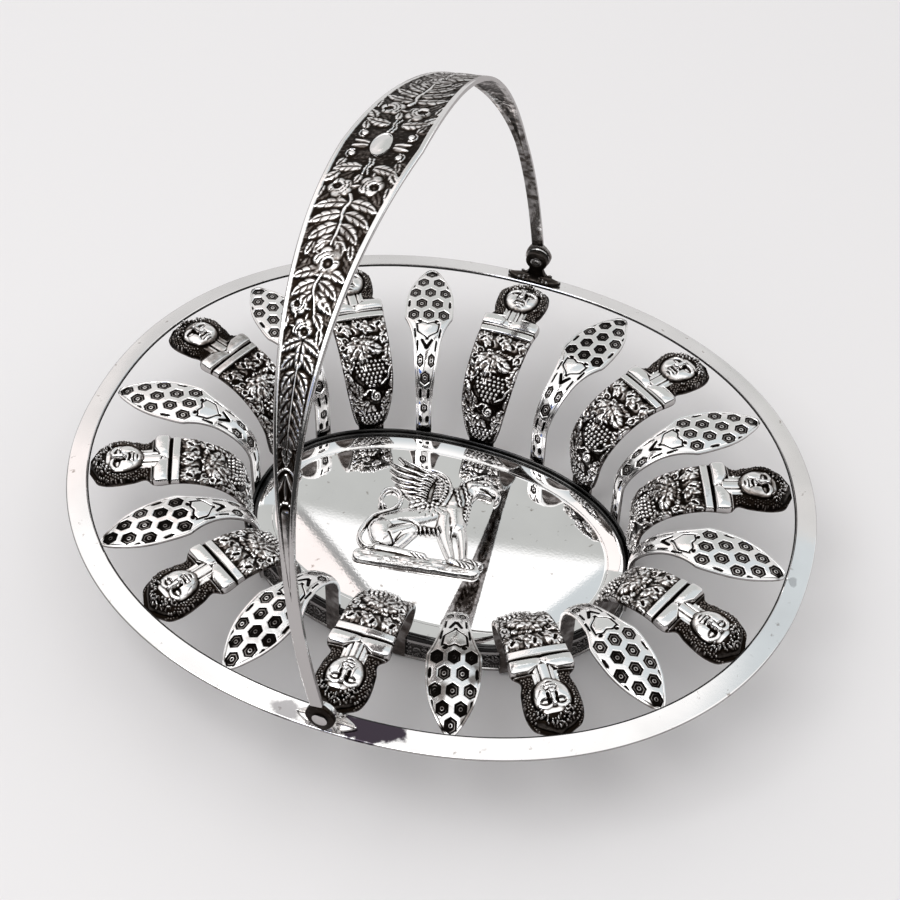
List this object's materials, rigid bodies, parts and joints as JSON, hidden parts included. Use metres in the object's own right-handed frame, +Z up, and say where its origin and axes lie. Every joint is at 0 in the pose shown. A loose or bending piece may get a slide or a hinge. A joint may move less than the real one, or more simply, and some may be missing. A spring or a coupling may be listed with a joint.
{
  "type": "silver swing-handled basket",
  "caption": "Oval openwork silver basket with curved relief strips, a flat rim, a mirror base plate with a griffin and a tall swing handle.",
  "frame": {"origin": "middle of the foot, on the surface that the basket stands on", "axes": "+Z up, X along the basket's length, Y along the handle's hinge line, front hinge towards -Y"},
  "size_m": [0.3, 0.261, 0.2141],
  "materials": {
    "polished_silver": "polished silver",
    "chased_silver": "polished chased silver with dark recesses",
    "oxidised_silver": "chased silver with blackened ground",
    "mirror_silver": "mirror-polished silver",
    "dark_silver": "tarnished silver"
  },
  "bodies": {
    "basket": {"rim_flange": "polished_silver", "rim_lip_wire": "polished_silver", "foot_wire": "polished_silver", "foot_collar": "oxidised_silver", "plate": "mirror_silver", "plate_ring": "polished_silver", "honeycomb_strip_01": "chased_silver", "honeycomb_strip_02": "chased_silver", "honeycomb_strip_03": "chased_silver", "honeycomb_strip_04": "chased_silver", "honeycomb_strip_05": "chased_silver", "honeycomb_strip_06": "chased_silver", "honeycomb_strip_07": "chased_silver", "honeycomb_strip_08": "chased_silver", "honeycomb_strip_09": "chased_silver", "honeycomb_strip_10": "chased_silver", "herm_strip_01": "oxidised_silver", "herm_strip_02": "oxidised_silver", "herm_strip_03": "oxidised_silver", "herm_strip_04": "oxidised_silver", "herm_strip_05": "oxidised_silver", "herm_strip_06": "oxidised_silver", "herm_strip_07": "oxidised_silver", "herm_strip_08": "oxidised_silver", "herm_strip_09": "oxidised_silver", "herm_strip_10": "oxidised_silver", "griffin_plaque": "chased_silver", "hinge_lug_front": "dark_silver", "hinge_lug_back": "dark_silver", "pivot_rivet_front": "dark_silver", "pivot_rivet_back": "dark_silver"},
    "handle": {"handle_band": "chased_silver", "handle_cartouche": "polished_silver", "handle_end_front": "polished_silver", "handle_end_back": "polished_silver"}
  },
  "joints": [
    {"name": "handle_pivot", "type": "hinge", "parent": "basket", "child": "handle", "pos_m": [0, 0, 0.0568], "axis": [0, 1, 0], "range_deg": [-81, 99]}
  ]
}
